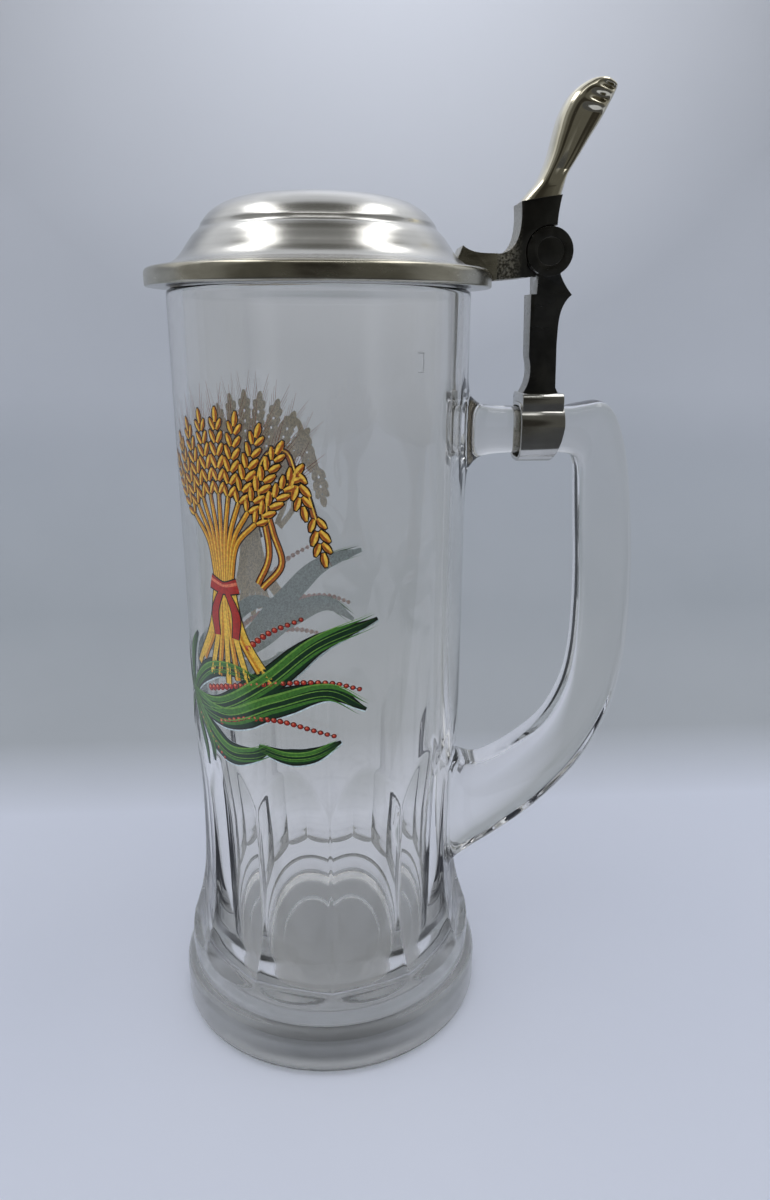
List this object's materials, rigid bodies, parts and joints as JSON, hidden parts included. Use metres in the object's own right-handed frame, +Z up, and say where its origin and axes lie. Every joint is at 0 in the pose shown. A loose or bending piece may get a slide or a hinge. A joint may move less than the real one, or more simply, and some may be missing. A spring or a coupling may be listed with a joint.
{
  "type": "beer stein",
  "caption": "Tall clear glass stein with arched facets, heavy foot, solid glass handle and a hinged domed metal lid with a thumb lever.",
  "frame": {"origin": "centre of the underside of the base, on the table", "axes": "+Z up along the vessel's axis, +X towards the handle and hinge, +Y across the handle"},
  "size_m": [0.1257, 0.086, 0.2433],
  "materials": {
    "clear_glass": "clear, polished, faint green-grey tint",
    "lid_metal": "satin pewter, turned",
    "hinge_metal": "dark patinated casting, ground flat on the sides",
    "lever_metal": "polished nickel-silver colour",
    "band_metal": "rolled strip, semi-polished"
  },
  "bodies": {
    "mug": {"mug_body": "clear_glass", "mug_handle": "clear_glass", "handle_band": "band_metal", "band_saddle": "band_metal", "hinge_shank": "hinge_metal", "hinge_pin": "hinge_metal"},
    "lid": {"thumb_lift": "lever_metal", "lid_tang": "lid_metal", "lid_dome": "lid_metal"}
  },
  "joints": [
    {"name": "lid_hinge", "type": "hinge", "parent": "mug", "child": "lid", "pos_m": [0.0552, 0, 0.2054], "axis": [0, 1, 0], "range_deg": [0, 130]}
  ]
}
